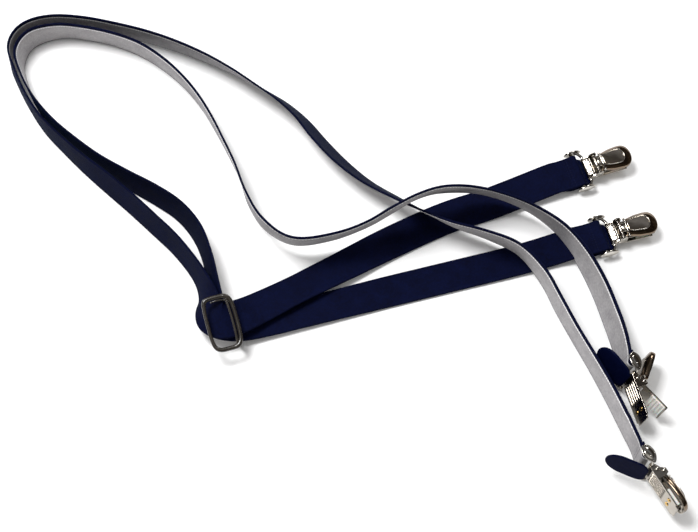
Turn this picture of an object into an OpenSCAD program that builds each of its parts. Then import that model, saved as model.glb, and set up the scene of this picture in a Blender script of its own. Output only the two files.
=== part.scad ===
// Pair of thin elastic suspenders laid out on a table: two straps, one cross slide and
// four lever clips. The back ends lie flat, and the front ends stand on their edges.

/* [Straps] */
// Width of the webbing
strap_w = 20; // [18:0.5:20]
// Thickness of the webbing
strap_t = 1.6; // [1.2:0.1:1.6]
// Length of the folded and sewn end behind each crossbar
fold_len = 6; // [5:0.5:7]

/* [Clips] */
// Width of the clip's back plate
plate_w = 13.2; // [12.8:0.2:13.6]
// Distance from the yoke's crossbar to the tip of the back plate
plate_reach = 32; // [31.5:0.5:33]
// Thickness of the pressed steel
steel_t = 0.8; // [0.7:0.1:0.8]
// Width of the lever cover
lever_w = 14.6; // [14.2:0.2:15]
// Length of the backing tongue
tongue_len = 23; // [18:1:24]

/* [Cross slide] */
// Length of the slide across the straps
slide_len = 31; // [31:0.5:34]
// Width of the slide along the straps
slide_w = 18; // [16:0.5:20]
// Thickness of the slide's two frames
slide_bar = 1.8; // [1.4:0.1:1.8]

/* [Hidden] */
$fn = 40;

// A clip's place: crossbar centre, heading of the strap's end, roll about it, swing of the
// clip on its crossbar, opening of the lever, opening of the jaws, and splay of the tongue.
BACK_A = [[154, 50.5, 6.6], 19, 8, 0, 0, 0, 4];
BACK_B = [[164, 5.5, 5.8], 15, 3, 0, 0, 0, 4];
FRONT_A = [[172, -137, 13.2], -72, -92, -10, 0, 0, 38];
FRONT_B = [[168.5, -83.5, 13.4], -84, -104, -8, 145, 29, 24];

// The straps' routes, from the back clip through the slide and round the loop to the front
// clip: x, y and z of the centre line, and the lean of the webbing from upright, which is
// positive to the left of the way along. The first and last rows follow from the clips.
route_a = [
  [102, 30.5, 3.2, -80], [74, 20, 2.8, -80], [41, 3, 2.8, -82], [13, -13.5, 3.6, -92], [-13, -29, 4.8, -98],
  [-33, -42, 7.4, -88], [-45, -50.8, 12.3, -76], [-53, -54.6, 14, -69], [-59.5, -51.8, 13.5, -63],
  [-62.5, -43.5, 11.8, -50], [-64.5, -33, 10.6, -25], [-70.5, -20, 10.3, -13], [-83, -3, 10.3, -11],
  [-97, 11.5, 10.3, -11], [-111.5, 26, 10.3, -11], [-126.5, 40, 10.3, -10], [-141.5, 53.5, 10.3, -5],
  [-156, 68, 10.3, -1], [-169.5, 83, 10.3, 1], [-180.5, 100, 10.3, 1], [-189.5, 118, 10.3, -2],
  [-196, 135, 10.3, -4], [-194, 149, 10.3, -8], [-185.5, 158.5, 10.3, -12], [-170, 163, 10.3, -14],
  [-150, 161.5, 10.3, -14], [-129, 156.5, 10.3, -14], [-109.5, 150.5, 10.3, -14], [-90.5, 143, 10.2, -16],
  [-71.5, 133.5, 10, -19], [-53.5, 122.5, 9.8, -24], [-37, 110.5, 9.5, -29], [-24, 100.5, 9.2, -32],
  [-12, 88, 8.9, -34], [-1, 72.5, 8.7, -37], [12, 56.5, 8.6, -38], [27, 42, 9, -36], [44, 29.5, 10.8, -34],
  [60, 18, 14, -30], [77, 8.5, 15, -24], [96, 1.5, 15, -18], [114.5, -8, 14.4, -11],
  [127.5, -24.2, 12.2, -2], [135.5, -42, 10.3, 1], [143, -60, 10.3, 0], [151.5, -79, 10.3, 1],
  [159, -97, 10.4, 3], [165, -114, 11, 3]
];
route_b = [
  [137, -1.5, 3.2, -88], [113.5, -8.5, 1.8, -90], [75, -19, 1.4, -90], [37, -29.5, 1.4, -90],
  [-8, -42.5, 1.9, -95], [-30, -48.8, 3.4, -89], [-44, -52.6, 6.6, -79], [-53.4, -53, 9.4, -74],
  [-58.4, -50.2, 9.9, -68], [-60.3, -42.4, 9.4, -51], [-60.6, -32, 10.3, -26], [-63.5, -14.5, 10.3, -15],
  [-70.5, 4.5, 10.3, -13], [-82, 20, 10.3, -10], [-97, 31.5, 10.3, -8], [-114, 42, 10.3, -5],
  [-131, 53.5, 10.3, -1], [-147, 67, 10.3, 2], [-162, 81.5, 10.3, 4], [-175, 98, 10.3, 5],
  [-184.5, 116, 10.3, 6], [-190, 134, 10.3, 6], [-184.5, 149, 10.3, -4], [-168, 155.5, 10.3, -12],
  [-151, 154, 10.3, -13], [-133.5, 149.5, 10.3, -12], [-115.5, 141.5, 10.3, -9], [-100.5, 130.5, 10.3, -8],
  [-87, 117, 10.3, -8], [-75.5, 101.5, 10.3, -7], [-66, 84.5, 10.5, -6], [-57.5, 66.5, 11, -7],
  [-49.5, 47.5, 12.5, -7], [-42.5, 26.5, 14.5, -5], [-32, 7.5, 17, -9], [-15, -5, 18.5, -18],
  [7, -3, 19.5, -20], [27, 3.5, 22.5, -21], [43, 10.3, 29, -20], [55.5, 16.3, 32, -22], [70, 22, 30.8, -23],
  [90, 26.5, 23.5, -25], [107.5, 25, 18.5, -22], [125, 17.5, 15.8, -16], [140.5, 4, 14.8, -5],
  [151, -12.5, 13, 7], [159, -31, 11, 13], [164.5, -51.5, 10.6, 15]
];
steps = 3;      // rings between two route rows
edge_r = 0.45;  // bevel on the webbing's long edges

function unit(v) = v / norm(v);
function frame_x(c) = [cos(c[1]), sin(c[1]), 0];
function end_row(c, back, lean) =
  let (p = c[0] - back * frame_x(c)) [p[0], p[1], p[2], lean];
function whole(back, rows, front) = concat(
  [for (k = [1:3]) end_row(back, k * fold_len, back[2] - 90)],
  rows,
  [for (k = [3:-1:1]) end_row(front, k * fold_len, -90 - front[2])]
);
function bend(a, b, c, d, t) =
  0.5 * (2 * b + (c - a) * t + (2 * a - 5 * b + 4 * c - d) * t * t + (3 * b - a - 3 * c + d) * t * t * t);
function smooth(rows) =
  let (n = len(rows), q = concat([2 * rows[0] - rows[1]], rows, [2 * rows[n - 1] - rows[n - 2]]))
  concat(
    [for (i = [0:n - 2]) for (k = [0:steps - 1]) bend(q[i], q[i + 1], q[i + 2], q[i + 3], k / steps)],
    [rows[n - 1]]
  );
function place(r) = [r[0], r[1], r[2]];
function along(c, i) = unit(place(c[min(i + 1, len(c) - 1)]) - place(c[max(i - 1, 0)]));
function section() =
  let (a = strap_w / 2, b = strap_t / 2)
  [[-a + edge_r, -b], [a - edge_r, -b], [a, -b + edge_r], [a, b - edge_r],
   [a - edge_r, b], [-a + edge_r, b], [-a, b - edge_r], [-a, -b + edge_r]];
function ring(c, i) =
  let (
    t = along(c, i),
    left = unit([-t[1], t[0], 0]),
    up = cross(t, left),
    across = cos(c[i][3]) * up + sin(c[i][3]) * left,
    face = cross(across, t)
  )
  [for (s = section()) place(c[i]) + s[0] * across + s[1] * face];

module webbing(rows) {
  c = smooth(rows);
  n = len(c);
  m = len(section());
  points = [for (i = [0:n - 1]) each ring(c, i)];
  sides = [for (i = [0:n - 2]) for (j = [0:m - 1])
    let (a = i * m + j, b = i * m + (j + 1) % m) each [[a, b, b + m], [a, b + m, a + m]]];
  start = [for (j = [m - 1:-1:0]) j];
  finish = [for (j = [0:m - 1]) (n - 1) * m + j];
  polyhedron(points = points, faces = concat(sides, [start], [finish]), convexity = 12);
}

module strap_a() { color("#141c48") webbing(whole(BACK_A, route_a, FRONT_A)); }
module strap_b() { color("#141c48") webbing(whole(BACK_B, route_b, FRONT_B)); }

// Clip sizes. In a clip's own frame X runs from the strap to the clip's tip, Y across the
// clip and Z out of its front, with the crossbar's centre at the origin.
running = 0.06;             // radial clearance of every pin in its bore
bar_r = 1.1;                // yoke's crossbar
cheek_y = 11.6;             // inner face of the yoke's cheeks
cheek_t = 0.9;              // thickness of a cheek
hinge_x = 6;                // yoke's lower bar, in the plate's rolled edge
hinge_r = 0.8;
tube_r = 1.6;               // outside of the rolled edge
pin_r = 0.7;
jaw_at = [9, 1.2];          // jaw pin, x and z
lever_at = [11.3, 4.2];     // lever pin, x and z
flange_t = 0.7;
flange_y = plate_w / 2 - flange_t;
knuckle_r = 1.3;
jaw_w = 2 * flange_y - 0.6;
slot_w = 5.8;               // slot in the jaw that the lever's barrel stands in
jaw_top = 1.9;              // front face of the jaw's leaf when shut
pad_x = 20.5;
pad_len = 9.5;
pad_w = 10;
tooth = 0.35;
cover_x = 14.8;
cover_len = 19;
tongue_x = 7.4;             // root of the tongue, below the rolled edge
tongue_z = -2.35;
tongue_t = 1.1;

module in_strap_frame(c) {
  translate(c[0]) rotate([0, 0, c[1]]) rotate([c[2], 0, 0]) children();
}
module in_clip_frame(c) { in_strap_frame(c) rotate([0, c[3], 0]) children(); }
module about(point, degrees) {
  translate([point[0], 0, point[1]]) rotate([0, -degrees, 0]) translate([-point[0], 0, -point[1]]) children();
}
// A bar across the clip, and a profile drawn in X and Z that is extruded across it
module across_bar(at, r, w) { translate([at[0], w / 2, at[1]]) rotate([90, 0, 0]) cylinder(r = r, h = w); }
module across_profile(w) { translate([0, w / 2, 0]) rotate([90, 0, 0]) linear_extrude(w) children(); }

module fold(c) {
  color("#141c48") in_strap_frame(c) across_profile(strap_w) difference() {
    union() {
      circle(r = bar_r + running + strap_t);
      translate([-fold_len, -strap_t]) square([fold_len, 2 * strap_t]);
    }
    circle(r = bar_r + running);
  }
}

module yoke(c) {
  leaf = [[-4, 0], [-2.6, 2.4], [0, 3.25], [3, 3.1], [5.4, 1.8], [7, 0], [5.4, -1.8], [3, -3.1], [0, -3.25],
          [-2.6, -2.4]];
  color("#c9c4bc") in_clip_frame(c) {
    across_bar([0, 0], bar_r, 2 * cheek_y + 0.4);
    across_bar([hinge_x, 0], hinge_r, plate_w + 2);
    for (side = [-1, 1]) {
      translate([0, side * (cheek_y + cheek_t / 2), 0]) rotate([90, 0, 0])
        linear_extrude(cheek_t, center = true) polygon(leaf);
      translate([0, 0, -0.8]) linear_extrude(1.6)
        polygon([[2.4, side * (cheek_y + 0.5)], [4.6, side * (cheek_y + 0.5)],
                 [hinge_x + 0.9, side * (plate_w / 2 + 1.2)], [hinge_x + 0.7, side * (plate_w / 2 + 0.25)],
                 [hinge_x - 0.7, side * (plate_w / 2 + 0.25)]]);
    }
  }
}

module plate(c) {
  flange = [[7.6, -tube_r], [14, -tube_r], [13.9, 3.6], [12.9, 5.6], [10.4, 5.7], [8.7, 3.1], [7.2, 2.4],
            [6.9, 0.6]];
  color("#c9c4bc") in_clip_frame(c) difference() {
    union() {
      across_bar([hinge_x, 0], tube_r, plate_w);
      translate([hinge_x, -plate_w / 2, -tube_r]) cube([plate_reach - hinge_x - 2, plate_w, steel_t]);
      translate([plate_reach - 3, -plate_w / 2 + 1.5, -tube_r]) cube([3, plate_w - 3, steel_t]);
      for (side = [-1, 1])
        translate([0, side * (flange_y + flange_t / 2), 0]) rotate([90, 0, 0])
          linear_extrude(flange_t, center = true) polygon(flange);
    }
    across_bar([hinge_x, 0], hinge_r + running, plate_w + 2);
    across_bar(jaw_at, pin_r, plate_w + 2);
    across_bar(lever_at, pin_r, plate_w + 2);
  }
}

module jaw(c) {
  color("#c9c4bc") in_clip_frame(c) about(jaw_at, c[5]) difference() {
    union() {
      across_bar(jaw_at, knuckle_r, jaw_w);
      translate([jaw_at[0], -jaw_w / 2, jaw_top - steel_t + 0.1]) cube([22, jaw_w, steel_t - 0.1]);
      translate([30.3, -jaw_w / 2, -0.2]) cube([steel_t, jaw_w, 1.8]);
      for (side = [-1, 1])
        translate([17.3, side * 3, jaw_top - 0.2]) cylinder(r = 0.9, h = 0.55);
    }
    across_bar(jaw_at, pin_r + running, jaw_w + 2);
    translate([jaw_at[0] + knuckle_r + 0.2, -slot_w / 2, -1]) cube([4.2, slot_w, 6]);
  }
}

// Zigzag edge shared by the two pads, as points from x = 0
function teeth() = [for (k = [0:2 * 5]) [k * pad_len / 10, k % 2 == 0 ? 0 : tooth]];

module plate_pad(c) {
  low = -tube_r + steel_t;
  color("#e8e4da") in_clip_frame(c) across_profile(pad_w) translate([pad_x, 0])
    polygon(concat([[0, low]], [for (p = teeth()) [p[0], p[1]]], [[pad_len, low]]));
}

module jaw_pad(c) {
  high = jaw_top - steel_t + 0.1;
  color("#e8e4da") in_clip_frame(c) about(jaw_at, c[5]) across_profile(pad_w) translate([pad_x, 0])
    polygon(concat([[0, high]], [for (p = teeth()) [p[0], p[1] + 0.15]], [[pad_len, high]]));
}

module lever(c) {
  barrel = slot_w - 0.6;
  neck = 5;
  color("#b9b2a8") in_clip_frame(c) about(lever_at, c[4]) difference() {
    union() {
      across_bar(lever_at, knuckle_r, barrel);
      translate([lever_at[0], -barrel / 2, lever_at[1] - 0.4]) cube([neck, barrel, 2.2]);
      cover();
    }
    across_bar(lever_at, pin_r + running, barrel + 2);
  }
}

// The cover is a shallow bullet-shaped shell, open towards the jaw
module cover() {
  lid_z = jaw_top + 0.5;
  lid_h = 4.2;
  skin = 0.9;
  difference() {
    bullet(lever_w, cover_len, lid_h, lid_z, 1.1);
    translate([0, 0, -0.01]) bullet(lever_w - 2 * skin, cover_len - skin, lid_h - skin, lid_z, 1.1);
  }
}
module bullet(w, len, h, z, bevel) {
  translate([cover_x, 0, z]) hull() {
    linear_extrude(h - bevel) bullet_outline(w, len);
    linear_extrude(h) bullet_outline(w - 2 * bevel, len - bevel);
  }
}
module bullet_outline(w, len) {
  shoulder = 1.2;
  intersection() {
    union() {
      translate([len - w / 2, 0]) circle(d = w, $fn = 32);
      polygon([[0, -w / 2 + shoulder], [3, -w / 2], [len - w / 2, -w / 2], [len - w / 2, w / 2], [3, w / 2],
               [0, w / 2 - shoulder]]);
    }
    translate([0, -w / 2]) square([len, w]);
  }
}

module lever_pin(c) { color("#d8d2c4") in_clip_frame(c) across_bar(lever_at, pin_r, plate_w + 0.6); }
module jaw_pin(c) { color("#d8d2c4") in_clip_frame(c) across_bar(jaw_at, pin_r, plate_w + 0.6); }

// Two dimpled studs that hold the lower pad on the back plate
module studs(c) {
  stud_r = 1.1;
  color("#c8a45a") in_clip_frame(c) for (side = [-1, 1])
    translate([pad_x + pad_len / 2, side * 2.6, -tube_r - 0.45]) cylinder(r = stud_r, h = 0.45);
}

// Backing tongue: it hangs from the foot of the rolled edge, behind the end of the strap
module tongue(c) {
  round_r = strap_w / 2 - 0.5;
  color("#101a44") in_clip_frame(c) about([tongue_x, tongue_z], c[6])
    translate([tongue_x, 0, tongue_z - tongue_t]) linear_extrude(tongue_t) union() {
      translate([-tongue_len + round_r, 0]) circle(r = round_r);
      polygon([[-tongue_len + round_r, -round_r], [-4, -round_r], [0, -plate_w / 2], [0, plate_w / 2],
               [-4, round_r], [-tongue_len + round_r, round_r]]);
    }
}

// The cross slide's place: centre, heading and roll, with X along the straps. A front frame
// lies over the two straps, and a bar passes behind them near its right edge.
SLIDE = [[-53.5, -55.7, 12.6], 17, 18];
gap_front = 2.9;            // from the middle of the two straps to the front frame
gap_back = 6.6;
back_bar_x = 6.8;
back_bar_l = slide_len - 3;

module in_slide_frame() { translate(SLIDE[0]) rotate([0, 0, SLIDE[1]]) rotate([SLIDE[2], 0, 0]) children(); }
module rounded(w, l, r) {
  square([w - 2 * r, l], center = true);
  square([w, l - 2 * r], center = true);
  for (x = [-1, 1], y = [-1, 1]) translate([x * (w / 2 - r), y * (l / 2 - r)]) circle(r = r);
}
module slide_front_frame() {
  border = 2.4;
  color("#3a342e") in_slide_frame() translate([0, 0, gap_front]) linear_extrude(slide_bar) difference() {
    rounded(slide_w, slide_len, 4);
    rounded(slide_w - 2 * border, slide_len - 2 * border, 2);
  }
}
module slide_back_bar() {
  bar_w = 3;
  post_l = 2;
  color("#3a342e") in_slide_frame() translate([back_bar_x - bar_w / 2, 0, -gap_back]) {
    translate([0, -back_bar_l / 2, -slide_bar]) cube([bar_w, back_bar_l, slide_bar]);
    for (y = [-back_bar_l / 2, back_bar_l / 2 - post_l])
      translate([0, y, 0]) cube([bar_w, post_l, gap_back + gap_front]);
  }
}
module slide_rivets() {
  color("#57504a") in_slide_frame() for (side = [-1, 1])
    translate([back_bar_x - 0.5, side * (back_bar_l / 2 - 0.3), gap_front + slide_bar])
      cylinder(r = 0.7, h = 0.4);
}

strap_a();
strap_b();
slide_front_frame();
slide_back_bar();
slide_rivets();
fold(BACK_A);  // back_a_fold
yoke(BACK_A);  // back_a_yoke
plate(BACK_A);  // back_a_plate
studs(BACK_A);  // back_a_studs
plate_pad(BACK_A);  // back_a_plate_pad
jaw(BACK_A);  // back_a_jaw
jaw_pad(BACK_A);  // back_a_jaw_pad
jaw_pin(BACK_A);  // back_a_jaw_pin
lever(BACK_A);  // back_a_lever
lever_pin(BACK_A);  // back_a_lever_pin
tongue(BACK_A);  // back_a_tongue
fold(BACK_B);  // back_b_fold
yoke(BACK_B);  // back_b_yoke
plate(BACK_B);  // back_b_plate
studs(BACK_B);  // back_b_studs
plate_pad(BACK_B);  // back_b_plate_pad
jaw(BACK_B);  // back_b_jaw
jaw_pad(BACK_B);  // back_b_jaw_pad
jaw_pin(BACK_B);  // back_b_jaw_pin
lever(BACK_B);  // back_b_lever
lever_pin(BACK_B);  // back_b_lever_pin
tongue(BACK_B);  // back_b_tongue
fold(FRONT_A);  // front_a_fold
yoke(FRONT_A);  // front_a_yoke
plate(FRONT_A);  // front_a_plate
studs(FRONT_A);  // front_a_studs
plate_pad(FRONT_A);  // front_a_plate_pad
jaw(FRONT_A);  // front_a_jaw
jaw_pad(FRONT_A);  // front_a_jaw_pad
jaw_pin(FRONT_A);  // front_a_jaw_pin
lever(FRONT_A);  // front_a_lever
lever_pin(FRONT_A);  // front_a_lever_pin
tongue(FRONT_A);  // front_a_tongue
fold(FRONT_B);  // front_b_fold
yoke(FRONT_B);  // front_b_yoke
plate(FRONT_B);  // front_b_plate
studs(FRONT_B);  // front_b_studs
plate_pad(FRONT_B);  // front_b_plate_pad
jaw(FRONT_B);  // front_b_jaw
jaw_pad(FRONT_B);  // front_b_jaw_pad
jaw_pin(FRONT_B);  // front_b_jaw_pin
lever(FRONT_B);  // front_b_lever
lever_pin(FRONT_B);  // front_b_lever_pin
tongue(FRONT_B);  // front_b_tongue
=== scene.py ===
import math

import bpy
import numpy as np
from mathutils import Matrix, Vector


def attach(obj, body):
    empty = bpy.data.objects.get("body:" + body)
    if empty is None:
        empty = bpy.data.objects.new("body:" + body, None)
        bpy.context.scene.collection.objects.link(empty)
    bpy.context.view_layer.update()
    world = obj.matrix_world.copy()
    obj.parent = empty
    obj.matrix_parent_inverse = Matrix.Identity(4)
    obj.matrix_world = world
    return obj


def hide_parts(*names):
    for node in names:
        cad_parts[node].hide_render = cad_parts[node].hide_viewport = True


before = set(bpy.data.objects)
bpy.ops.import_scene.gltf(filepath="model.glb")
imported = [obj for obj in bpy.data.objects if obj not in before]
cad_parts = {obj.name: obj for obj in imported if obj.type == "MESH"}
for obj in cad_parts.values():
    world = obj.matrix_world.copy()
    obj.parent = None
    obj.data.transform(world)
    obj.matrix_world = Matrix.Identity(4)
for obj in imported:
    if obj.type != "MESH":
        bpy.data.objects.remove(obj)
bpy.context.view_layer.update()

# Table, light and camera: a white table top under two soft lamps, in a pale room. The camera
# stands before the table and looks down on it.
mm = 0.001
scene = bpy.context.scene
scene.view_settings.view_transform = "Standard"


def finish(name, **sockets):
    """A new Principled material with its constant sockets set."""
    made = bpy.data.materials.new(name)
    made.use_nodes = True
    shader = made.node_tree.nodes["Principled BSDF"]
    for socket, value in sockets.items():
        shader.inputs[socket.replace("_", " ")].default_value = value
    return made


def node(of, kind, inputs=None, **settings):
    """A new shader node in material or world `of`; an input is a value or another node's output."""
    made = of.node_tree.nodes.new("ShaderNode" + kind)
    for setting, value in settings.items():
        setattr(made, setting, value)
    for socket, value in (inputs or {}).items():
        if isinstance(value, bpy.types.NodeSocket):
            of.node_tree.links.new(value, made.inputs[socket])
        else:
            made.inputs[socket].default_value = value
    return made


def mix_colour(of, share, first, second):
    mixed = node(of, "Mix", {0: share, 6: first, 7: second}, data_type="RGBA")
    return mixed.outputs[2]


def cloud(of, size, detail=3.0):
    """Soft random variation whose patches are about `size` metres across, on the object itself."""
    where = node(of, "TexCoord").outputs["Object"]
    noise = node(of, "TexNoise", {"Vector": where, "Scale": 1 / size, "Detail": detail})
    return noise.outputs["Fac"]


def connect(of, output, socket):
    of.node_tree.links.new(output, of.node_tree.nodes["Principled BSDF"].inputs[socket])


table_top = finish("white_table", Roughness=0.55, Specular_IOR_Level=0.2)
table_tone = mix_colour(table_top, cloud(table_top, 0.05), (0.925, 0.925, 0.925, 1), (0.94, 0.94, 0.94, 1))
connect(table_top, table_tone, "Base Color")
table_half = 4
table_mesh = bpy.data.meshes.new("table")
table_corners = [(-table_half, -table_half, 0), (table_half, -table_half, 0), (table_half, table_half, 0),
                 (-table_half, table_half, 0)]
table_mesh.from_pydata(table_corners, [], [(0, 1, 2, 3)])
table = bpy.data.objects.new("table", table_mesh)
scene.collection.objects.link(table)
table_mesh.materials.append(table_top)

# Two sets of walls: pale ones that light things, and darker, warmer ones that reflections show
room = bpy.data.worlds.new("room")
room.use_nodes = True
scene.world = room
direction = node(room, "TexCoord").outputs["Generated"]
height = node(room, "SeparateXYZ", {0: direction}).outputs[2]
walls = node(room, "ValToRGB", {0: height})
walls.color_ramp.elements[0].color = (0.62, 0.60, 0.57, 1)
walls.color_ramp.elements[1].color = (1.0, 1.0, 1.0, 1)
mirrored = node(room, "ValToRGB", {0: height})
mirrored.color_ramp.elements[0].color = (0.035, 0.026, 0.020, 1)
mirrored.color_ramp.elements[1].color = (1.2, 1.18, 1.14, 1)
for place, colour in ((0.30, (0.17, 0.14, 0.11, 1)), (0.42, (0.035, 0.028, 0.022, 1)),
                      (0.76, (0.09, 0.080, 0.072, 1)), (0.86, (0.40, 0.41, 0.44, 1)),
                      (0.91, (0.09, 0.085, 0.08, 1)), (0.97, (0.30, 0.29, 0.27, 1))):
    mirrored.color_ramp.elements.new(place).color = colour
in_mirror = node(room, "LightPath").outputs["Is Glossy Ray"]
background = room.node_tree.nodes["Background"]
room.node_tree.links.new(mix_colour(room, in_mirror, walls.outputs[0], mirrored.outputs[0]),
                         background.inputs["Color"])
background.inputs["Strength"].default_value = 0.56


def lamp(name, at, aim, size, watts):
    light = bpy.data.lights.new(name, "AREA")
    light.shape = "RECTANGLE"
    light.size, light.size_y = size
    light.energy = watts
    placed = bpy.data.objects.new(name, light)
    placed.location = at
    placed.rotation_euler = (Vector(aim) - Vector(at)).to_track_quat("-Z", "Y").to_euler()
    scene.collection.objects.link(placed)


lamp("overhead_softbox", (-0.55, 0.25, 1.4), (0, 0, 0), (0.6, 0.6), 24)
lamp("far_softbox", (0.5, 1.1, 1.0), (0, 0, 0), (0.35, 0.35), 4)

look_at = Vector((0.017, -0.011, 0))
camera_tilt = math.radians(60)
camera_distance = 0.8
camera = bpy.data.objects.new("camera", bpy.data.cameras.new("camera"))
camera.data.lens = 70.97
camera.data.sensor_width = 36
camera.location = look_at + camera_distance * Vector((0, -math.cos(camera_tilt), math.sin(camera_tilt)))
camera.rotation_euler = (math.pi / 2 - camera_tilt, 0, 0)
scene.collection.objects.link(camera)
scene.camera = camera

# The two straps: 20 mm woven elastic, navy on the face and grey on the back, with navy
# selvedges. Each end is folded round a clip's crossbar and sewn down.
strap_w = 20
strap_t = 1.2
edge_t = 1.35        # the selvedge is a little thicker
fold_len = 6
crossbar_r = 1.1     # the clip's bar, which each end is folded round

# Each clip's place, in millimetres and degrees: crossbar centre, heading of the strap's end,
# roll about it, swing on the crossbar, opening of the lever, and splay of the tongue.
clips = {
    "back_a": dict(at=(154, 50.5, 6.6), heading=19, roll=8, swing=0, lever=0, tongue=4),
    "back_b": dict(at=(164, 5.5, 5.8), heading=15, roll=3, swing=0, lever=0, tongue=4),
    "front_a": dict(at=(172, -137, 13.2), heading=-72, roll=-92, swing=-10, lever=0, tongue=38),
    "front_b": dict(at=(168.5, -83.5, 13.4), heading=-84, roll=-104, swing=-8, lever=145, tongue=24),
}

# Routes in millimetres: x, y and z of the centre line, and the lean of the webbing from upright
route_a = [
    [102, 30.5, 3.2, -80], [74, 20, 2.8, -80], [41, 3, 2.8, -82], [13, -13.5, 3.6, -92], [-13, -29, 4.8, -98],
    [-33, -42, 7.4, -88], [-45, -50.8, 12.3, -76], [-53, -54.6, 14, -69], [-59.5, -51.8, 13.5, -63],
    [-62.5, -43.5, 11.8, -50], [-64.5, -33, 10.6, -25], [-70.5, -20, 10.3, -13], [-83, -3, 10.3, -11],
    [-97, 11.5, 10.3, -11], [-111.5, 26, 10.3, -11], [-126.5, 40, 10.3, -10], [-141.5, 53.5, 10.3, -5],
    [-156, 68, 10.3, -1], [-169.5, 83, 10.3, 1], [-180.5, 100, 10.3, 1], [-189.5, 118, 10.3, -2],
    [-196, 135, 10.3, -4], [-194, 149, 10.3, -8], [-185.5, 158.5, 10.3, -12], [-170, 163, 10.3, -14],
    [-150, 161.5, 10.3, -14], [-129, 156.5, 10.3, -14], [-109.5, 150.5, 10.3, -14], [-90.5, 143, 10.2, -16],
    [-71.5, 133.5, 10, -19], [-53.5, 122.5, 9.8, -24], [-37, 110.5, 9.5, -29], [-24, 100.5, 9.2, -32],
    [-12, 88, 8.9, -34], [-1, 72.5, 8.7, -37], [12, 56.5, 8.6, -38], [27, 42, 9, -36], [44, 29.5, 10.8, -34],
    [60, 18, 14, -30], [77, 8.5, 15, -24], [96, 1.5, 15, -18], [114.5, -8, 14.4, -11],
    [127.5, -24.2, 12.2, -2], [135.5, -42, 10.3, 1], [143, -60, 10.3, 0], [151.5, -79, 10.3, 1],
    [159, -97, 10.4, 3], [165, -114, 11, 3]
]
route_b = [
    [137, -1.5, 3.2, -88], [113.5, -8.5, 1.8, -90], [75, -19, 1.4, -90], [37, -29.5, 1.4, -90],
    [-8, -42.5, 1.9, -95], [-30, -48.8, 3.4, -89], [-44, -52.6, 6.6, -79], [-53.4, -53, 9.4, -74],
    [-58.4, -50.2, 9.9, -68], [-60.3, -42.4, 9.4, -51], [-60.6, -32, 10.3, -26], [-63.5, -14.5, 10.3, -15],
    [-70.5, 4.5, 10.3, -13], [-82, 20, 10.3, -10], [-97, 31.5, 10.3, -8], [-114, 42, 10.3, -5],
    [-131, 53.5, 10.3, -1], [-147, 67, 10.3, 2], [-162, 81.5, 10.3, 4], [-175, 98, 10.3, 5],
    [-184.5, 116, 10.3, 6], [-190, 134, 10.3, 6], [-184.5, 149, 10.3, -4], [-168, 155.5, 10.3, -12],
    [-151, 154, 10.3, -13], [-133.5, 149.5, 10.3, -12], [-115.5, 141.5, 10.3, -9], [-100.5, 130.5, 10.3, -8],
    [-87, 117, 10.3, -8], [-75.5, 101.5, 10.3, -7], [-66, 84.5, 10.5, -6], [-57.5, 66.5, 11, -7],
    [-49.5, 47.5, 12.5, -7], [-42.5, 26.5, 14.5, -5], [-32, 7.5, 17, -9], [-15, -5, 18.5, -18],
    [7, -3, 19.5, -20], [27, 3.5, 22.5, -21], [43, 10.3, 29, -20], [55.5, 16.3, 32, -22], [70, 22, 30.8, -23],
    [90, 26.5, 23.5, -25], [107.5, 25, 18.5, -22], [125, 17.5, 15.8, -16], [140.5, 4, 14.8, -5],
    [151, -12.5, 13, 7], [159, -31, 11, 13], [164.5, -51.5, 10.6, 15]
]


def turn(axis, degrees):
    return Matrix.Rotation(math.radians(degrees), 4, axis)


def strap_frame(clip):
    return Matrix.Translation(Vector(clip["at"])) @ turn("Z", clip["heading"]) @ turn("X", clip["roll"])


def moved(points, matrix):
    matrix = np.array(matrix)
    return points @ matrix[:3, :3].T + matrix[:3, 3]


def end_row(clip, back, lean):
    heading = math.radians(clip["heading"])
    x, y, z = clip["at"]
    return (x - back * math.cos(heading), y - back * math.sin(heading), z, lean)


def catmull_rom(rows, steps):
    """Points of a Catmull-Rom curve through the rows; the outer rows only steer it."""
    t = (np.arange(steps) / steps)[:, None]
    return np.vstack([0.5 * (2 * b + (c - a) * t + (2 * a - 5 * b + 4 * c - d) * t**2
                             + (3 * b - a - 3 * c + d) * t**3)
                      for a, b, c, d in zip(rows[:-3], rows[1:-2], rows[2:-1], rows[3:])])


def smooth_curve(rows, steps):
    """An open smooth curve through every row."""
    rows = np.array(rows, float)
    steered = np.vstack([2 * rows[0] - rows[1], rows, 2 * rows[-1] - rows[-2]])
    return np.vstack([catmull_rom(steered, steps), rows[-1:]])


def distances(points):
    return np.concatenate([[0], np.cumsum(np.linalg.norm(np.diff(points, axis=0), axis=1))])


def unit(v):
    return v / np.linalg.norm(v, axis=-1, keepdims=True)


def folded_end(clip, side):
    """Centre line from the strap round the crossbar to the sewn tail; the tail lies on `side`."""
    wrap = crossbar_r + 0.06 + strap_t / 2
    flat = [(-fold_len - 3.5, 0.0), (-fold_len - 1.5, -0.12), (-fold_len + 0.5, -0.42), (-3.6, -0.72),
            (-2.4, -1.0)]
    angles = np.radians(np.linspace(-125, 125, 21))
    loop = [(wrap * math.cos(a), wrap * math.sin(a)) for a in angles]
    tail = [(-2.4, 1.0), (-3.6, 0.74), (-5.0, 0.66), (-fold_len - 0.6, 0.72)]
    return moved(np.array([(x, 0, z * side) for x, z in flat + loop + tail]), strap_frame(clip))


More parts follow.
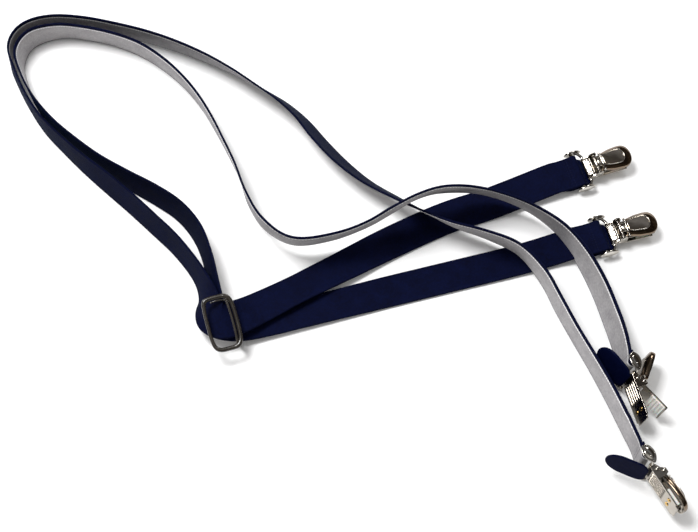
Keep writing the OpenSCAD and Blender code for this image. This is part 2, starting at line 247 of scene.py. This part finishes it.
def eased(curve):
    """The curve with a point every millimetre and its small kinks rounded off, except near its ends."""
    reach, fade = 6, 8
    run = distances(curve[:, :3])
    even = np.linspace(0, run[-1], int(run[-1]) + 1)
    curve = np.stack([np.interp(even, run, curve[:, k]) for k in range(4)], 1)
    weights = np.exp(-np.linspace(-2.2, 2.2, 2 * reach + 1) ** 2)
    padded = np.vstack([2 * curve[0] - curve[reach:0:-1], curve, 2 * curve[-1] - curve[-2:-2 - reach:-1]])
    soft = np.stack([np.convolve(padded[:, k], weights / weights.sum(), "valid") for k in range(4)], 1)
    share = np.clip(np.minimum(even, even[-1] - even) / fade, 0, 1)[:, None]
    return share * soft + (1 - share) * curve


def centre_line(back, rows, front):
    """Points and across-vectors of a whole strap, from one sewn tail to the other."""
    whole = ([end_row(back, k * fold_len, back["roll"] - 90) for k in (2, 3)] + list(rows)
             + [end_row(front, k * fold_len, -90 - front["roll"]) for k in (3, 2)])
    curve = eased(smooth_curve(whole, 16))
    points = curve[:, :3]
    forward = unit(np.gradient(points, axis=0))
    left = unit(np.stack([-forward[:, 1], forward[:, 0], 0 * forward[:, 0]], 1))
    up = np.cross(forward, left)
    lean = np.radians(curve[:, 3])[:, None]
    across = np.cos(lean) * up + np.sin(lean) * left
    first, last = folded_end(back, -1), folded_end(front, 1)
    y_first = np.array(strap_frame(back))[:3, 1]
    y_last = -np.array(strap_frame(front))[:3, 1]
    points = np.vstack([first[::-1], points, last])
    across = np.vstack([np.tile(y_first, (len(first), 1)), across, np.tile(y_last, (len(last), 1))])
    return points, across


def strap_section():
    """Half of the webbing's section: place across, and half thickness there."""
    half = strap_w / 2
    places = [-half, -half + 0.12, -half + 0.4, -half + 0.9, -half + 1.3, -half + 2.2]
    inner = list(np.arange(-half + 3.5, half - 3, 1.5))
    places = places + inner + [-p for p in places[::-1]]
    thick = []
    for p in places:
        from_edge = half - abs(p)
        bead = max(0.0, 1 - (from_edge - 0.6) ** 2 / 0.5)
        round_off = math.sqrt(min(1, from_edge / 0.4)) if from_edge < 0.4 else 1
        thick.append(max(0.16, (strap_t + (edge_t - strap_t) * bead) / 2 * round_off))
    return np.array(places), np.array(thick)


def loft(rings, closed=True):
    """Skins a list of rings that have the same number of points; `closed` caps both ends."""
    rings = [np.asarray(r, float) for r in rings]
    count = len(rings[0])
    faces = []
    for r in range(len(rings) - 1):
        for k in range(count):
            a, b = r * count + k, r * count + (k + 1) % count
            faces.append((a, b, b + count, a + count))
    if closed:
        faces.append(tuple(range(count))[::-1])
        faces.append(tuple((len(rings) - 1) * count + k for k in range(count)))
    return np.vstack(rings), faces


def joined(*shapes):
    points, faces, first = [], [], 0
    for shape_points, shape_faces in shapes:
        points.append(shape_points)
        faces += [tuple(i + first for i in face) for face in shape_faces]
        first += len(shape_points)
    return np.vstack(points), faces


def new_piece(name, points, faces, coat, body, slot, replaces=()):
    """Adds a mesh piece from points in millimetres in the shared frame."""
    mesh = bpy.data.meshes.new(name)
    mesh.from_pydata([tuple(p * mm for p in point) for point in points], [], [tuple(f) for f in faces])
    mesh.validate()
    piece = bpy.data.objects.new(name, mesh)
    scene.collection.objects.link(piece)
    mesh.materials.append(coat)
    mesh.polygons.foreach_set("use_smooth", [True] * len(mesh.polygons))
    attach(piece, body)
    if replaces:
        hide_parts(*replaces)
    return piece


def webbing(name, points, across, coat, replaces):
    """The strap as one closed ribbon, with its own lengths stored for the weave."""
    forward = unit(np.gradient(points, axis=0))
    across = unit(across - (across * forward).sum(1, keepdims=True) * forward)
    face = np.cross(across, forward)
    places, thick = strap_section()
    ring_u = np.concatenate([places, places[::-1]])
    ring_w = np.concatenate([-thick, thick[::-1]])
    along = distances(points)
    ripple = 0.10 * np.sin(along / 4.1) + 0.07 * np.sin(along / 2.3 + 1)
    count, ring = len(points), len(ring_u)
    u = ring_u[None, :] * (1 + ripple[:, None] / 120)
    grid = points[:, None, :] + u[..., None] * across[:, None, :] + ring_w[None, :, None] * face[:, None, :]
    piece = new_piece(name, *loft(grid), coat, "root", "webbing", replaces)
    for label, values in (("along", np.repeat(along, ring) * mm),
                          ("across", np.tile(ring_u, count) * mm),
                          ("through", np.tile(np.sign(ring_w), count))):
        stored = piece.data.attributes.new(label, "FLOAT", "POINT")
        stored.data.foreach_set("value", values.astype(np.float32))
    return piece


def math_node(of, operation, a, b=0.0):
    return node(of, "Math", {0: a, 1: b}, operation=operation).outputs[0]


def spread(of, value, low, high):
    """Maps 0..1 to low..high."""
    return node(of, "MapRange", {"Value": value, "To Min": low, "To Max": high}).outputs[0]


def emboss(of, height, depth, strength=1.0):
    bump = node(of, "Bump", {"Height": height, "Distance": depth, "Strength": strength})
    connect(of, bump.outputs[0], "Normal")


def strap_cloth():
    """Woven navy face and grey back; the back has navy selvedges, and by the upper one a pale dashed line:
    the white edge yarn, painted brighter as a highlight.
    """
    pick_pitch, rib_pitch, dash_pitch = 0.62 * mm, 0.90 * mm, 1.7 * mm
    pale_from, navy_from, navy_below = 6.8 * mm, 7.9 * mm, -9.2 * mm
    coat = finish("woven_elastic", Roughness=0.9, Specular_IOR_Level=0.05, Sheen_Weight=0.03,
                  Sheen_Roughness=0.3, Sheen_Tint=(0.05, 0.22, 0.60, 1))
    along, across, through = (node(coat, "Attribute", attribute_name=n).outputs["Fac"]
                              for n in ("along", "across", "through"))
    pick = math_node(coat, "SINE", math_node(coat, "MULTIPLY", along, 2 * math.pi / pick_pitch))
    rib = math_node(coat, "SINE", math_node(coat, "MULTIPLY", across, 2 * math.pi / rib_pitch))
    weave = math_node(coat, "MULTIPLY_ADD", math_node(coat, "MULTIPLY", pick, rib), 0.5)
    weave.node.inputs[2].default_value = 0.5
    dye = math_node(coat, "ADD", math_node(coat, "MULTIPLY", cloud(coat, 0.009, 4), 1.2),
                    math_node(coat, "MULTIPLY", cloud(coat, 0.0013, 4), 1.5))
    dye = math_node(coat, "SUBTRACT", dye, 0.85)
    navy = mix_colour(coat, dye, (0.0008, 0.0014, 0.0105, 1), (0.0026, 0.0046, 0.026, 1))
    grey = mix_colour(coat, dye, (0.30, 0.29, 0.30, 1), (0.50, 0.485, 0.49, 1))
    # The weave's criss-cross darkens the grey a little: partly the weave's own yarns, partly painted shade of
    # the threads
    grey = mix_colour(coat, spread(coat, weave, 0.0, 0.22), grey, (0.23, 0.22, 0.24, 1))
    on_back = math_node(coat, "LESS_THAN", through, 0.0)
    below_top = math_node(coat, "LESS_THAN", across, navy_from)
    # By the upper selvedge, a pale dashed line: the white edge yarn, painted brighter as a highlight where it
    # catches the light
    in_line = math_node(coat, "GREATER_THAN", across, pale_from)
    dash = math_node(coat, "SINE", math_node(coat, "MULTIPLY", along, 2 * math.pi / dash_pitch))
    white_yarn_and_painted_highlight = math_node(coat, "MULTIPLY", in_line, spread(coat, dash, 0.75, 1.0))
    grey = mix_colour(coat, white_yarn_and_painted_highlight, grey, (0.90, 0.89, 0.90, 1))
    above_foot = math_node(coat, "GREATER_THAN", across, navy_below)
    grey_share = math_node(coat, "MULTIPLY", math_node(coat, "MULTIPLY", on_back, below_top), above_foot)
    connect(coat, mix_colour(coat, grey_share, navy, grey), "Base Color")
    connect(coat, spread(coat, dye, 0.74, 0.90), "Roughness")
    emboss(coat, weave, 0.09 * mm, 0.8)
    return coat


elastic = strap_cloth()


def thread_finish(name, dark, light):
    coat = finish(name, Roughness=0.8, Specular_IOR_Level=0.1, Sheen_Weight=0.02)
    connect(coat, mix_colour(coat, cloud(coat, 0.0012), dark, light), "Base Color")
    emboss(coat, cloud(coat, 0.0003), 0.05 * mm)
    return coat


white_thread = thread_finish("white_thread", (0.78, 0.77, 0.78, 1), (0.93, 0.92, 0.93, 1))
navy_thread = thread_finish("navy_thread", (0.002, 0.003, 0.016, 1), (0.006, 0.009, 0.036, 1))


def stitches(name, centres, directions, normals, length, width, coat, body, slot):
    """A row of small raised stitches, each a flattened bead along its own direction."""
    bead = [(-0.5, 0.0), (-0.36, 0.8), (0.0, 1.0), (0.36, 0.8), (0.5, 0.0)]
    sides = 6
    angles = [2 * math.pi * k / sides for k in range(sides)]
    beads = []
    for centre, ahead, out in zip(centres, directions, normals):
        beside = np.cross(out, ahead)
        rings = [[centre + ahead * step * length + size * width / 2
                  * (math.cos(angle) * beside + 0.7 * math.sin(angle) * out) for angle in angles]
                 for step, size in bead]
        beads.append(loft(rings, closed=False))
    return new_piece(name, *joined(*beads), coat, body, slot)


def strap_with_stitching(label, back, rows, front):
    points, across = centre_line(clips[back], rows, clips[front])
    webbing("strap_" + label + "_webbing", points, across, elastic,
            ("strap_" + label, back + "_fold", front + "_fold"))
    forward = unit(np.gradient(points, axis=0))
    across = unit(across - (across * forward).sum(1, keepdims=True) * forward)
    face = np.cross(across, forward)
    along = distances(points)
    pitch, bare_end = 1.7, 24
    at = np.arange(bare_end, along[-1] - bare_end, pitch)

    def on_strap(values):
        return np.stack([np.interp(at, along, values[:, k]) for k in range(3)], 1)

    centre, ahead, over, out = (on_strap(v) for v in (points, forward, across, face))
    stitches("strap_" + label + "_edge_stitching", centre + 7.35 * over - (strap_t / 2 + 0.02) * out,
             unit(ahead), unit(-out), 1.3, 0.95, white_thread, "root", "webbing")
    for end in (back, front):
        matrix = np.array(strap_frame(clips[end]))
        rows_y = np.arange(-8.5, 8.6, pitch)
        side = 1 if end.startswith("back") else -1
        ones = np.ones((len(rows_y), 1))
        for line, x, rise in (("inner", -fold_len - 0.1, 0.2), ("outer", -fold_len + 1.5, 0.48)):
            height = rise + strap_t / 2
            centres = moved(np.array([(x, y, side * height) for y in rows_y]), matrix)
            stitches(end + "_sewn_" + line + "_line", centres, ones * matrix[:3, 1],
                     ones * matrix[:3, 2] * side, 1.25, 0.5, navy_thread, "root", "webbing")


strap_with_stitching("a", "back_a", route_a, "front_a")
strap_with_stitching("b", "back_b", route_b, "front_b")

# The cross slide: one glossy moulded frame over both straps, with a bowed left bar and a doubled
# right bar, and a strong bar behind the straps that is held by two posts.
slide_at = (-53.5, -55.7, 12.6)
slide_heading = 17
slide_roll = 18
slide_front = 3.8        # middle of the front frame, from the middle of the straps
slide_bar_x = 6.8
slide_back = 7.5


def rod(path, radius, sides=16, flat=1.0, up=(0, 0, 1), ring_path=False):
    """A rod along a path, with rounded ends; `flat` squeezes it along `up`. A ring path has no ends."""
    path = np.asarray(path, float)
    radius = np.broadcast_to(np.asarray(radius, float), (len(path),)).copy()
    if ring_path:
        ahead = unit(np.roll(path, -1, 0) - np.roll(path, 1, 0))
    else:
        ahead = unit(np.gradient(path, axis=0))
        first, last, r0, r1 = path[0], path[-1], radius[0], radius[-1]
        path = np.vstack([first - 0.34 * r0 * ahead[0], first - 0.25 * r0 * ahead[0], path,
                          last + 0.25 * r1 * ahead[-1], last + 0.34 * r1 * ahead[-1]])
        radius = np.concatenate([[0.45 * r0, 0.8 * r0], radius, [0.8 * r1, 0.45 * r1]])
        ahead = np.vstack([ahead[:1], ahead[:1], ahead, ahead[-1:], ahead[-1:]])
    side = unit(np.cross(np.broadcast_to(up, ahead.shape), ahead))
    rise = np.cross(ahead, side)
    angles = 2 * math.pi * np.arange(sides) / sides
    rings = [p + r * (np.cos(angles)[:, None] * s + flat * np.sin(angles)[:, None] * u)
             for p, r, s, u in zip(path, radius, side, rise)]
    points, faces = loft(rings, closed=not ring_path)
    if ring_path:
        last = (len(rings) - 1) * sides
        faces += [(last + k, last + (k + 1) % sides, (k + 1) % sides, k) for k in range(sides)]
    return points, faces


def lathe(profile, centre, axis, sides=20):
    """Turns a profile of (radius, height) round an axis through the centre."""
    axis = unit(np.asarray(axis, float))
    side = unit(np.cross(axis, (0.3, 0.9, 0.31)))
    other = np.cross(axis, side)
    angles = 2 * math.pi * np.arange(sides) / sides
    spokes = np.cos(angles)[:, None] * side + np.sin(angles)[:, None] * other
    return loft([np.asarray(centre, float) + max(r, 0.02) * spokes + h * axis for r, h in profile])


def set_at(shape, matrix):
    points, faces = shape
    return moved(points, matrix), faces


def horn_finish():
    coat = finish("glossy_brown_horn", Roughness=0.25, Coat_Weight=0.4, Coat_Roughness=0.10,
                  Specular_IOR_Level=0.5)
    streak = cloud(coat, 0.004, 5)
    connect(coat, mix_colour(coat, streak, (0.010, 0.0085, 0.007, 1), (0.036, 0.030, 0.024, 1)), "Base Color")
    connect(coat, spread(coat, cloud(coat, 0.0015), 0.16, 0.34), "Roughness")
    emboss(coat, cloud(coat, 0.0012), 0.03 * mm, 0.5)
    return coat


horn = horn_finish()
slide_frame = Matrix.Translation(Vector(slide_at)) @ turn("Z", slide_heading) @ turn("X", slide_roll)


def closed_curve(corners, steps=10):
    """A smooth closed curve through the corners."""
    corners = np.array(corners, float)
    return catmull_rom(np.vstack([corners[-1:], corners, corners[:2]]), steps)


outline = closed_curve([(-8.3, 0), (-8.1, 8), (-7.2, 13.2), (-5, 14.8), (0, 15), (5, 14.4), (7.4, 11.5),
                        (8.1, 5), (8.1, -5), (7.4, -11.5), (5, -14.4), (0, -14.8), (-4.6, -14.4),
                        (-7.2, -12.2), (-8.2, -7)])
front_path = np.column_stack([outline, np.full(len(outline), slide_front)])
# thicker at its top and bottom, and along the right bar
front_radius = 0.86 + 0.26 * np.clip(np.abs(outline[:, 1]) / 14, 0, 1) ** 4 + 0.10 * (outline[:, 0] > 4)
inner_bar = smooth_curve([(5.2, 13.6, slide_front), (5.6, 8, slide_front + 0.2), (5.8, 0, slide_front + 0.25),
                          (5.6, -8, slide_front + 0.2), (5.2, -13.4, slide_front)], 8)
top_lip = smooth_curve([(-3.6, 12.7, slide_front), (0, 13, slide_front + 0.15),
                        (3.4, 12.6, slide_front + 0.1), (5.3, 11.6, slide_front)], 6)
front_bars = joined(rod(front_path, front_radius * 1.15, 14, 0.82, ring_path=True),
                    rod(inner_bar, 0.72, 12, 0.9), rod(top_lip, 0.5, 10))
new_piece("slide_front_bars", *set_at(front_bars, slide_frame), horn, "root", "slide_plastic",
          ("slide_front_frame", "slide_rivets"))
post_y = 13.2
back_path = smooth_curve([(slide_bar_x, -post_y, 2.9), (slide_bar_x, -post_y, -3),
                          (slide_bar_x, -post_y, -6.2), (slide_bar_x, -post_y + 0.7, -slide_back),
                          (slide_bar_x, -9, -slide_back),
                          (slide_bar_x, 0, -slide_back), (slide_bar_x, 9, -slide_back),
                          (slide_bar_x, post_y - 0.7, -slide_back), (slide_bar_x, post_y, -6.2),
                          (slide_bar_x, post_y, -3), (slide_bar_x, post_y, 2.9)], 6)
new_piece("slide_back_loop", *set_at(rod(back_path, 1.3, 14, 0.68, up=(1, 0, 0)), slide_frame), horn, "root",
          "slide_plastic", ("slide_back_bar",))

# The yoke of each clip: a crossbar in the strap's fold, two domed cheeks, and a lower bar that
# the clip's body hinges on, all of stamped steel, polished and nickel plated.
crossbar_half = 11.8
cheek_y = 11.6
hinge_x = 6
hinge_half = 7.6
hinge_r = 0.8


def nickel_finish(name, dark, light, smoothest, roughest):
    coat = finish(name, Metallic=1.0, Roughness=smoothest)
    tone = cloud(coat, 0.004)
    connect(coat, mix_colour(coat, tone, dark, light), "Base Color")
    connect(coat, spread(coat, cloud(coat, 0.0009, 5), smoothest, roughest), "Roughness")
    stretched = node(coat, "Mapping", {0: node(coat, "TexCoord").outputs["Object"], 3: (900, 160, 900)})
    scratch = node(coat, "TexNoise", {"Vector": stretched.outputs[0], "Scale": 1.0, "Detail": 4.0})
    emboss(coat, scratch.outputs["Fac"], 0.02 * mm, 0.35)
    return coat


mirror = nickel_finish("mirror_nickel", (0.52, 0.49, 0.44, 1), (0.70, 0.67, 0.62, 1), 0.05, 0.14)


def leaf_cheek(side):
    around = closed_curve([(-4.2, 0), (-2.8, 2.3), (0, 3.25), (3, 3.0), (5.4, 1.8), (6.9, 0), (5.4, -1.8),
                           (3, -3.0), (0, -3.25), (-2.8, -2.3)], 6)
    middle = np.array([1.2, 0])
    rings = []
    for size, y in ((0.90, 0.02), (0.97, 0.0), (1.0, 0.12), (1.0, 0.62), (0.97, 0.82), (0.90, 0.92),
                    (0.80, 0.80), (0.72, 0.74), (0.60, 0.92), (0.40, 1.08), (0.15, 1.16)):
        flat = middle + size * (around - middle)
        rings.append(np.column_stack([flat[:, 0], np.full(len(flat), side * (cheek_y + y)), flat[:, 1]]))
    return loft(rings)


def yoke_arm(side):
    return rod(smooth_curve([(2.4, side * 12.0, 0), (3.9, side * 11.2, 0), (5.2, side * 9.6, 0),
                             (hinge_x, side * 8.0, 0), (hinge_x, side * 7.0, 0)], 6), 0.95, 12, 0.85)


def make_yoke(clip_name, here):
    bar = rod([(0, y, 0) for y in np.linspace(-crossbar_half, crossbar_half, 9)], crossbar_r, 20)
    hinge = rod([(hinge_x, y, 0) for y in np.linspace(-hinge_half, hinge_half, 7)], hinge_r, 16)
    parts = [bar, hinge]
    for side in (-1, 1):
        parts += [leaf_cheek(side), yoke_arm(side)]
    new_piece(clip_name + "_yoke_bars_and_cheeks", *set_at(joined(*parts), here), mirror, clip_name + "_yoke",
              "clip_metal", (clip_name + "_yoke",))


# The body plate: its rolled edge turns on the yoke's lower bar. It has an embossed apron over
# the springs, stiffening ribs on its back, headed cross pins, springs, and dimpled brass studs.
plate_w = 13.2
apron_half = 5.75
jaw_pin_at = (9, 1.2)
lever_pin_at = (11.3, 4.2)
pin_r = 0.7
coil_r = 0.84
coil_wire_r = 0.13
coil_turns = 6
stud_x, stud_y, stud_z = 25.25, 2.6, -1.55
nickel = nickel_finish("polished_nickel", (0.40, 0.365, 0.32, 1), (0.58, 0.54, 0.48, 1), 0.10, 0.22)
spring_steel = nickel_finish("spring_steel", (0.36, 0.33, 0.30, 1), (0.58, 0.54, 0.50, 1), 0.16, 0.30)
brass = nickel_finish("brass_stud", (0.62, 0.40, 0.13, 1), (0.80, 0.56, 0.22, 1), 0.14, 0.28)


def cad_finish(name, coat, edge=0.14):
    """Gives a CAD node its finish, and softens its sharp edges."""
    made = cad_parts[name]
    for place in made.material_slots:
        place.material = coat
    weld = made.modifiers.new("weld", "WELD")
    weld.merge_threshold = 0.005 * mm
    soft = made.modifiers.new("edge", "BEVEL")
    soft.width = edge * mm
    soft.segments = 2
    soft.limit_method = "ANGLE"
    soft.angle_limit = math.radians(35)
    soft.harden_normals = True


def apron_crown(y):
    return 0.18 * (1 - (y / apron_half) ** 2)


def make_body(clip_name, here):
    body = clip_name + "_plate"
    cad_finish(clip_name + "_plate", nickel)
    apron_line = smooth_curve([(5.0, 0, 1.62), (6.2, 0, 1.95), (7.6, 0, 2.6), (8.9, 0, 2.72)], 5)
    rings = []
    for y in np.linspace(-apron_half, apron_half, 13):
        upper = [(x, y, z + 0.25 + apron_crown(y)) for x, _, z in apron_line]
        lower = [(x, y, z - 0.12 + apron_crown(y)) for x, _, z in apron_line[::-1]]
        rings.append(upper + lower)
    lip = rod([(8.8, y, 2.8 + apron_crown(y)) for y in np.linspace(-5.6, 5.6, 13)], 0.26, 10)
    bump = [(1.0, 0.0), (0.95, 0.22), (0.7, 0.42), (0.35, 0.5), (0.05, 0.52)]
    bumps = [lathe(bump, (7.0, y, 2.5), (-0.5, 0, 1)) for y in (-3.0, 0.6, 4.3)]
    ribs = [rod([(x, y, -1.66) for x in np.linspace(9.2, 21, 9)], 0.3, 8) for y in (-4.4, -2.2, 0, 2.2, 4.4)]
    new_piece(clip_name + "_apron_and_ribs", *set_at(joined(loft(rings), lip, *bumps, *ribs), here), nickel,
              body, "clip_metal")
    for pin, at in (("jaw_pin", jaw_pin_at), ("lever_pin", lever_pin_at)):
        half = plate_w / 2
        shaft = rod([(at[0], y, at[1]) for y in np.linspace(-half, half, 7)], pin_r, 16)
        head = [(pin_r, -0.1), (1.15, 0.0), (1.2, 0.16), (1.0, 0.42), (0.6, 0.58), (0.1, 0.62)]
        ends = [lathe(head, (at[0], side * half, at[1]), (0, side, 0)) for side in (-1, 1)]
        new_piece(clip_name + "_" + pin + "_with_heads", *set_at(joined(shaft, *ends), here), mirror, body,
                  "pin_metal", (clip_name + "_" + pin,))
    coils = []
    for side in (-1, 1):
        turns = np.linspace(0, coil_turns * 2 * math.pi, 121)
        path = np.column_stack([lever_pin_at[0] + coil_r * np.cos(turns),
                                side * (3.05 + 2.3 * turns / turns[-1]),
                                lever_pin_at[1] + coil_r * np.sin(turns)])
        coils.append(rod(path, coil_wire_r, 8, up=(0, 1, 0)))
    new_piece(clip_name + "_springs", *set_at(joined(*coils), here), spring_steel, body, "clip_metal")
    dimple = [(1.25, -0.05), (1.25, 0.2), (1.1, 0.42), (0.85, 0.48), (0.6, 0.36), (0.3, 0.22), (0.03, 0.18)]
    dimples = [lathe(dimple, (stud_x, side * stud_y, stud_z), (0, 0, -1)) for side in (-1, 1)]
    new_piece(clip_name + "_dimpled_studs", *set_at(joined(*dimples), here), brass, body, "stud_brass",
              (clip_name + "_studs",))


# The jaw, a stamped and plated steel arm that turns on the jaw pin. Two toothed pads of milky
# plastic, one pressed into the jaw and one into the plate, grip the waistband between them.
def milky_pad():
    coat = finish("milky_pad", Roughness=0.45, Subsurface_Weight=0.25, Subsurface_Scale=0.8 * mm,
                  Specular_IOR_Level=0.45)
    tone = mix_colour(coat, cloud(coat, 0.002), (0.66, 0.65, 0.62, 1), (0.84, 0.83, 0.80, 1))
    connect(coat, tone, "Base Color")
    emboss(coat, cloud(coat, 0.0004), 0.03 * mm, 0.5)
    return coat


pad_coat = milky_pad()


def make_jaw(clip_name):
    cad_finish(clip_name + "_jaw", nickel)
    cad_finish(clip_name + "_jaw_pad", pad_coat, 0.08)
    cad_finish(clip_name + "_plate_pad", pad_coat, 0.08)


# The lever's cover: a pressed bullet-shaped shell with a raised mirror facet on top and bevelled
# sides, on a barrel that turns on the lever pin. The shell is one metal; its sides are painted darker
# and its facet lighter, as painted reflections.
lever_heel = 14.8
lever_tip = 33.8
lever_low = 2.4
lever_high = 6.6
# Lit and shaded copies of the cover's one metal: a painted dark reflection on the sides and a painted lighter
# reflection on the facet
painted_dark_reflection = nickel_finish("painted_dark_reflection_side", (0.15, 0.11, 0.075, 1), (0.28, 0.21, 0.15, 1), 0.10, 0.22)
painted_light_reflection = nickel_finish("painted_light_reflection_facet", (0.44, 0.38, 0.31, 1), (0.62, 0.55, 0.47, 1), 0.06, 0.14)


def about(at, degrees):
    """Opening by some degrees about a cross pin at x and z of the clip's own frame."""
    return (Matrix.Translation((at[0], 0, at[1])) @ turn("Y", -degrees)
            @ Matrix.Translation((-at[0], 0, -at[1])))


def bullet_ring(half_w, start, end, z, count=14):
    """Outline of the cover at one height, from its squared heel round its rounded tip."""
    heel = half_w * 0.70
    points = [(start, -heel * f) for f in (0.0, 0.5, 1.0)]
    centre = end - half_w
    straight = centre - start
    points += [(start + 0.2 * straight, -half_w * 0.80), (start + 0.55 * straight, -half_w * 0.94)]
    for k in range(count + 1):
        angle = -math.pi / 2 + math.pi * k / count
        reach = math.copysign(abs(math.cos(angle)) ** 0.7, math.cos(angle))
        points.append((centre + half_w * reach, half_w * math.sin(angle)))
    points += [(start + 0.55 * straight, half_w * 0.94), (start + 0.2 * straight, half_w * 0.80)]
    points += [(start, heel * f) for f in (1.0, 0.5)]
    return np.array([(x, y, z) for x, y in points])


def dish(rings):
    """Skins the rings and closes the last one only."""
    points, faces = loft(rings, closed=False)
    count = len(rings[0])
    faces.append(tuple((len(rings) - 1) * count + k for k in range(count)))
    return points, faces


def make_lever(clip_name, here, opening):
    body, at = clip_name + "_lever", here @ about(lever_pin_at, opening)
    start, end, low, high = lever_heel, lever_tip, lever_low, lever_high
    outside = [bullet_ring(7.15, start, end, low), bullet_ring(7.3, start, end, low + 0.25),
               bullet_ring(7.3, start, end, low + 1.5), bullet_ring(7.05, start, end - 0.1, low + 2.1)]
    bevel = [outside[-1], bullet_ring(6.8, start + 0.1, end - 0.4, low + 2.5),
             bullet_ring(4.6, start + 0.6, end - 5.0, high - 0.25)]
    facet = [bevel[-1], bullet_ring(4.4, start + 0.8, end - 5.3, high),
             bullet_ring(4.1, start + 1.1, end - 5.7, high + 0.02),
             bullet_ring(2.6, start + 3, end - 8, high + 0.10),
             bullet_ring(0.9, start + 5, end - 10.0, high + 0.13)]
    rim = rod(bullet_ring(4.5, start + 0.7, end - 5.1, high - 0.08), 0.2, 8, ring_path=True)
    inside = [outside[0], bullet_ring(6.5, start + 0.5, end - 0.7, low + 0.1),
              bullet_ring(6.2, start + 0.7, end - 1.2, low + 2.2),
              bullet_ring(4.4, start + 1.4, end - 3.4, high - 0.9),
              bullet_ring(1.0, start + 5, end - 9, high - 0.85)]
    barrel = rod([(lever_pin_at[0], y, lever_pin_at[1]) for y in np.linspace(-2.3, 2.3, 5)], 1.3, 20)
    neck = loft([[(x, y, z) for y, z in ((-2.5, bottom), (2.5, bottom), (2.6, bottom + 0.4), (2.6, top - 0.4),
                                         (2.2, top), (-2.2, top), (-2.6, top - 0.4), (-2.6, bottom + 0.4))]
                 for x, bottom, top in ((11.2, 3.5, 5.4), (12.6, 3.9, 5.9), (14.2, 4.0, 6.1),
                                        (16.2, 4.1, 6.0))])
    collar = rod(smooth_curve([(start + 0.1, -5.2, 4.9), (start - 0.2, -4.2, 5.9), (start - 0.3, -2, 6.35),
                               (start - 0.3, 2, 6.35), (start - 0.2, 4.2, 5.9), (start + 0.1, 5.2, 4.9)], 5),
                 0.5, 12)
    ball = [(0.1, -0.85), (0.6, -0.6), (0.85, 0.0), (0.6, 0.6), (0.1, 0.85)]
    balls = [lathe(ball, (start + 0.1, side * 5.3, 4.8), (0, 1, 0)) for side in (-1, 1)]
    cover = joined(loft(outside, closed=False), loft(bevel, closed=False))
    new_piece(clip_name + "_lever_cover", *set_at(cover, at), painted_dark_reflection, body, "clip_metal",
              (clip_name + "_lever",))
    new_piece(clip_name + "_lever_collar_and_rim", *set_at(joined(collar, rim, *balls), at), mirror, body,
              "clip_metal")
    new_piece(clip_name + "_lever_top_facet", *set_at(dish(facet), at), painted_light_reflection, body, "clip_metal")
    new_piece(clip_name + "_lever_inside", *set_at(joined(dish(inside), barrel, neck), at), nickel, body,
              "clip_metal")


# The backing tongue: a rounded tab of coated navy leather behind the end of the strap, with a
# turned edge and a row of stitching.
tongue_root = (7.4, -2.35)       # x and z of the line it bends at
tongue_half_w = 9.5


def coated_leather():
    coat = finish("coated_navy_leather", Roughness=0.45, Specular_IOR_Level=0.0, Coat_Weight=0.07,
                  Coat_Roughness=0.12)
    dye = mix_colour(coat, cloud(coat, 0.003), (0.0010, 0.0019, 0.013, 1), (0.0028, 0.0048, 0.028, 1))
    connect(coat, dye, "Base Color")
    connect(coat, spread(coat, cloud(coat, 0.0012), 0.36, 0.52), "Roughness")
    where = node(coat, "TexCoord").outputs["Object"]
    grain = node(coat, "TexVoronoi", {"Vector": where, "Scale": 1 / (0.7 * mm)}).outputs["Distance"]
    emboss(coat, grain, 0.05 * mm, 0.35)
    return coat


leather = coated_leather()


def make_tongue(clip_name, here, splay):
    body, at = clip_name + "_tongue", here @ about(tongue_root, splay)
    root_x, root_z = tongue_root
    tip = tongue_half_w
    half = [(-0.2, 0.0), (-0.2, 4.0), (-0.4, 6.2), (-2.2, 8.3), (-4.4, 9.3), (-8, tip), (-11, tip)]
    arc = [(-13.5 - tip * math.sin(a), tip * math.cos(a)) for a in np.linspace(0, math.pi / 2, 9)]
    upper = half + arc
    outline = np.array(upper + [(x, -y) for x, y in upper[-2:0:-1]])
    middle = np.array([-11.5, 0.0])
    rings = []
    for size, z in ((0.10, -1.06), (0.5, -1.08), (0.86, -1.1), (0.95, -1.06), (0.99, -0.9), (1.0, -0.55),
                    (0.99, -0.22), (0.955, -0.06), (0.90, -0.10), (0.84, -0.22), (0.6, -0.12), (0.3, -0.04),
                    (0.05, -0.02)):
        flat = middle + size * (outline - middle)
        rings.append(np.column_stack([flat[:, 0] + root_x, flat[:, 1], np.full(len(flat), z + root_z)]))
    new_piece(clip_name + "_tongue_tab", *set_at(loft(rings), at), leather, body, "tongue_leather",
              (clip_name + "_tongue",))
    seam = middle + 0.875 * (outline[3:-3] - middle)
    run = distances(seam)
    spots = np.arange(0.8, run[-1], 1.9)
    centres = np.column_stack([np.interp(spots, run, seam[:, 0]) + root_x, np.interp(spots, run, seam[:, 1]),
                               np.full(len(spots), root_z - 0.12)])
    ahead = unit(np.gradient(centres, axis=0))
    rotate = np.array(at)
    centres = moved(centres, rotate)
    ahead = ahead @ rotate[:3, :3].T
    outward = np.tile(rotate[:3, 2], (len(spots), 1))
    stitches(clip_name + "_tongue_stitching", centres, ahead, outward, 1.3, 0.5, navy_thread, body,
             "tongue_leather")


# Each clip hangs on the sewn end of its strap, so its pieces are made in the strap end's own frame,
# turned by the clip's swing on the crossbar. back_a and front_a are on one strap, back_b and front_b
# on the other.
for clip_name, clip in clips.items():
    in_clip = strap_frame(clip) @ turn("Y", clip["swing"])
    make_yoke(clip_name, in_clip)
    make_body(clip_name, in_clip)
    make_jaw(clip_name)
    make_lever(clip_name, in_clip, clip["lever"])
    make_tongue(clip_name, in_clip, clip["tongue"])
